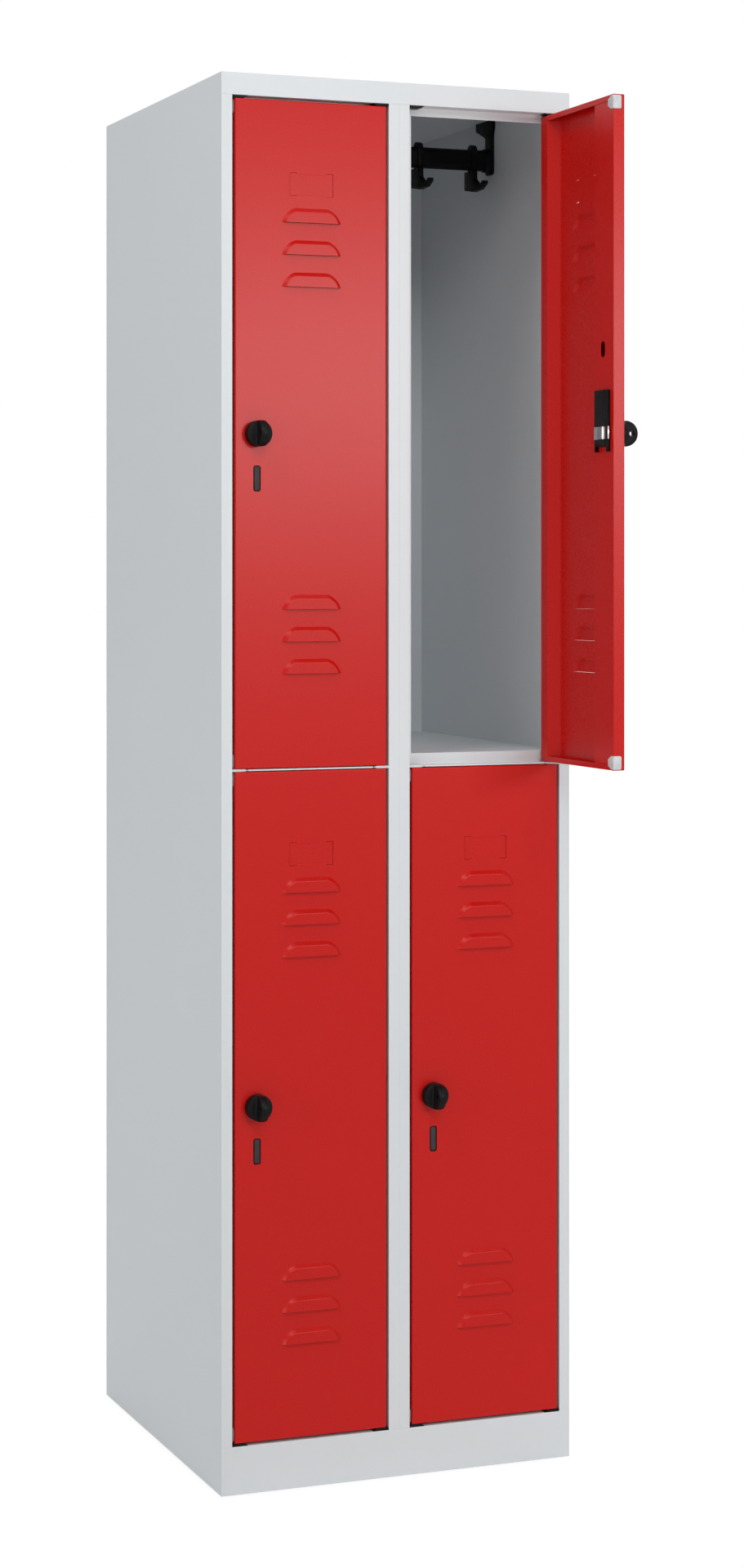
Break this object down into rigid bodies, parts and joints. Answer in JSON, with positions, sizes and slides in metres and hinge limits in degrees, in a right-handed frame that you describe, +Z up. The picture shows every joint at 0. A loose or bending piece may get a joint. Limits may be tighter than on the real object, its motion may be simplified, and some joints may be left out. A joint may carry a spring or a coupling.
{
  "type": "double-tier locker",
  "caption": "Tall sheet-steel locker with stacked compartments behind louvred hinged doors, with turn-knob latches, coat rails, sliding hooks and levelling feet.",
  "frame": {"origin": "on the floor, at the centre of the carcass's footprint", "axes": "+X to the right seen from the front, +Y to the back, +Z up"},
  "size_m": [0.5145, 0.6978, 1.85],
  "materials": {
    "carcass_grey": "satin",
    "door_red": "satin",
    "black_plastic": "satin",
    "light_plastic": "satin",
    "bolt_chrome": "polished",
    "pin_steel": "brushed"
  },
  "bodies": {
    "carcass": {"left_side_panel": "carcass_grey", "right_side_panel": "carcass_grey", "centre_partition_left": "carcass_grey", "centre_partition_right": "carcass_grey", "back_panel": "carcass_grey", "top_panel": "carcass_grey", "plinth_panel": "carcass_grey", "floor_pan": "carcass_grey", "middle_shelf_left": "carcass_grey", "middle_shelf_right": "carcass_grey", "coat_rails": "black_plastic", "rail_brackets": "black_plastic", "frame_corner_blocks": "black_plastic", "shelf_corner_blocks": "light_plastic", "hinge_pins": "pin_steel", "foot_nuts": "pin_steel"},
    "upper_left_door": {"upper_left_door_panel": "door_red", "upper_left_door_stiffener": "door_red", "upper_left_door_slot_plug": "black_plastic", "upper_left_door_lock_housing": "black_plastic", "upper_left_door_corner_caps": "light_plastic"},
    "upper_left_knob": {"upper_left_door_knob": "black_plastic"},
    "upper_left_bolt": {"upper_left_door_latch_bolt": "bolt_chrome"},
    "upper_left_coat_hook_left": {"upper_left_coat_hook_left": "black_plastic"},
    "upper_left_coat_hook_middle": {"upper_left_coat_hook_middle": "black_plastic"},
    "upper_left_coat_hook_right": {"upper_left_coat_hook_right": "black_plastic"},
    "lower_left_door": {"lower_left_door_panel": "door_red", "lower_left_door_stiffener": "door_red", "lower_left_door_slot_plug": "black_plastic", "lower_left_door_lock_housing": "black_plastic", "lower_left_door_corner_caps": "light_plastic"},
    "lower_left_knob": {"lower_left_door_knob": "black_plastic"},
    "lower_left_bolt": {"lower_left_door_latch_bolt": "bolt_chrome"},
    "lower_left_coat_hook_left": {"lower_left_coat_hook_left": "black_plastic"},
    "lower_left_coat_hook_middle": {"lower_left_coat_hook_middle": "black_plastic"},
    "lower_left_coat_hook_right": {"lower_left_coat_hook_right": "black_plastic"},
    "upper_right_door": {"upper_right_door_panel": "door_red", "upper_right_door_stiffener": "door_red", "upper_right_door_slot_plug": "black_plastic", "upper_right_door_lock_housing": "black_plastic", "upper_right_door_corner_caps": "light_plastic"},
    "upper_right_knob": {"upper_right_door_knob": "black_plastic"},
    "upper_right_bolt": {"upper_right_door_latch_bolt": "bolt_chrome"},
    "upper_right_coat_hook_left": {"upper_right_coat_hook_left": "black_plastic"},
    "upper_right_coat_hook_middle": {"upper_right_coat_hook_middle": "black_plastic"},
    "upper_right_coat_hook_right": {"upper_right_coat_hook_right": "black_plastic"},
    "lower_right_door": {"lower_right_door_panel": "door_red", "lower_right_door_stiffener": "door_red", "lower_right_door_slot_plug": "black_plastic", "lower_right_door_lock_housing": "black_plastic", "lower_right_door_corner_caps": "light_plastic"},
    "lower_right_knob": {"lower_right_door_knob": "black_plastic"},
    "lower_right_bolt": {"lower_right_door_latch_bolt": "bolt_chrome"},
    "lower_right_coat_hook_left": {"lower_right_coat_hook_left": "black_plastic"},
    "lower_right_coat_hook_middle": {"lower_right_coat_hook_middle": "black_plastic"},
    "lower_right_coat_hook_right": {"lower_right_coat_hook_right": "black_plastic"},
    "levelling_foot_front_left": {"levelling_foot_front_left": "light_plastic"},
    "levelling_foot_front_right": {"levelling_foot_front_right": "light_plastic"},
    "levelling_foot_rear_left": {"levelling_foot_rear_left": "light_plastic"},
    "levelling_foot_rear_right": {"levelling_foot_rear_right": "light_plastic"}
  },
  "joints": [
    {"name": "upper_left_door_hinge", "type": "hinge", "parent": "carcass", "child": "upper_left_door", "pos_m": [-0.0265, -0.242, 0.94575], "axis": [0, 0, 1], "range_deg": [0, 105]},
    {"name": "upper_left_knob_turn", "type": "hinge", "parent": "upper_left_door", "child": "upper_left_knob", "pos_m": [-0.201, -0.242, 1.3815], "axis": [0, 1, 0], "range_deg": [0, 90]},
    {"name": "upper_left_bolt_slide", "type": "slide", "parent": "upper_left_door", "child": "upper_left_bolt", "axis": [-1, 0, 0], "range_m": [0, 0.00537]},
    {"name": "upper_left_coat_hook_left_slide", "type": "slide", "parent": "carcass", "child": "upper_left_coat_hook_left", "axis": [1, 0, 0], "range_m": [-0.034, 0.038]},
    {"name": "upper_left_coat_hook_middle_slide", "type": "slide", "parent": "carcass", "child": "upper_left_coat_hook_middle", "axis": [1, 0, 0], "range_m": [-0.038, 0.038]},
    {"name": "upper_left_coat_hook_right_slide", "type": "slide", "parent": "carcass", "child": "upper_left_coat_hook_right", "axis": [1, 0, 0], "range_m": [-0.038, 0.013]},
    {"name": "lower_left_door_hinge", "type": "hinge", "parent": "carcass", "child": "lower_left_door", "pos_m": [-0.0265, -0.242, 0.07025], "axis": [0, 0, 1], "range_deg": [0, 105]},
    {"name": "lower_left_knob_turn", "type": "hinge", "parent": "lower_left_door", "child": "lower_left_knob", "pos_m": [-0.201, -0.242, 0.506], "axis": [0, 1, 0], "range_deg": [0, 90]},
    {"name": "lower_left_bolt_slide", "type": "slide", "parent": "lower_left_door", "child": "lower_left_bolt", "axis": [-1, 0, 0], "range_m": [0, 0.00537]},
    {"name": "lower_left_coat_hook_left_slide", "type": "slide", "parent": "carcass", "child": "lower_left_coat_hook_left", "axis": [1, 0, 0], "range_m": [-0.034, 0.038]},
    {"name": "lower_left_coat_hook_middle_slide", "type": "slide", "parent": "carcass", "child": "lower_left_coat_hook_middle", "axis": [1, 0, 0], "range_m": [-0.038, 0.038]},
    {"name": "lower_left_coat_hook_right_slide", "type": "slide", "parent": "carcass", "child": "lower_left_coat_hook_right", "axis": [1, 0, 0], "range_m": [-0.038, 0.013]},
    {"name": "upper_right_door_hinge", "type": "hinge", "parent": "carcass", "child": "upper_right_door", "pos_m": [0.2235, -0.242, 0.94575], "axis": [0, 0, 1], "range_deg": [-90, 15]},
    {"name": "upper_right_knob_turn", "type": "hinge", "parent": "upper_right_door", "child": "upper_right_knob", "pos_m": [0.2235, -0.4165, 1.3815], "axis": [-1, 0, 0], "range_deg": [0, 90]},
    {"name": "upper_right_bolt_slide", "type": "slide", "parent": "upper_right_door", "child": "upper_right_bolt", "axis": [0, -1, 0], "range_m": [0, 0.00537]},
    {"name": "upper_right_coat_hook_left_slide", "type": "slide", "parent": "carcass", "child": "upper_right_coat_hook_left", "axis": [1, 0, 0], "range_m": [-0.034, 0.038]},
    {"name": "upper_right_coat_hook_middle_slide", "type": "slide", "parent": "carcass", "child": "upper_right_coat_hook_middle", "axis": [1, 0, 0], "range_m": [-0.038, 0.038]},
    {"name": "upper_right_coat_hook_right_slide", "type": "slide", "parent": "carcass", "child": "upper_right_coat_hook_right", "axis": [1, 0, 0], "range_m": [-0.038, 0.013]},
    {"name": "lower_right_door_hinge", "type": "hinge", "parent": "carcass", "child": "lower_right_door", "pos_m": [0.2235, -0.242, 0.07025], "axis": [0, 0, 1], "range_deg": [0, 105]},
    {"name": "lower_right_knob_turn", "type": "hinge", "parent": "lower_right_door", "child": "lower_right_knob", "pos_m": [0.049, -0.242, 0.506], "axis": [0, 1, 0], "range_deg": [0, 90]},
    {"name": "lower_right_bolt_slide", "type": "slide", "parent": "lower_right_door", "child": "lower_right_bolt", "axis": [-1, 0, 0], "range_m": [0, 0.00537]},
    {"name": "lower_right_coat_hook_left_slide", "type": "slide", "parent": "carcass", "child": "lower_right_coat_hook_left", "axis": [1, 0, 0], "range_m": [-0.034, 0.038]},
    {"name": "lower_right_coat_hook_middle_slide", "type": "slide", "parent": "carcass", "child": "lower_right_coat_hook_middle", "axis": [1, 0, 0], "range_m": [-0.038, 0.038]},
    {"name": "lower_right_coat_hook_right_slide", "type": "slide", "parent": "carcass", "child": "lower_right_coat_hook_right", "axis": [1, 0, 0], "range_m": [-0.038, 0.013]},
    {"name": "levelling_foot_front_left_screw", "type": "slide", "parent": "carcass", "child": "levelling_foot_front_left", "axis": [0, 0, -1], "range_m": [0, 0.015]},
    {"name": "levelling_foot_front_right_screw", "type": "slide", "parent": "carcass", "child": "levelling_foot_front_right", "axis": [0, 0, -1], "range_m": [0, 0.015]},
    {"name": "levelling_foot_rear_left_screw", "type": "slide", "parent": "carcass", "child": "levelling_foot_rear_left", "axis": [0, 0, -1], "range_m": [0, 0.015]},
    {"name": "levelling_foot_rear_right_screw", "type": "slide", "parent": "carcass", "child": "levelling_foot_rear_right", "axis": [0, 0, -1], "range_m": [0, 0.015]}
  ],
  "couplings": [
    {"joint": "upper_left_knob_turn", "follows": "upper_left_bolt_slide", "rad_per_m": 292.29},
    {"joint": "lower_left_knob_turn", "follows": "lower_left_bolt_slide", "rad_per_m": 292.29},
    {"joint": "upper_right_knob_turn", "follows": "upper_right_bolt_slide", "rad_per_m": 292.29},
    {"joint": "lower_right_knob_turn", "follows": "lower_right_bolt_slide", "rad_per_m": 292.29}
  ]
}
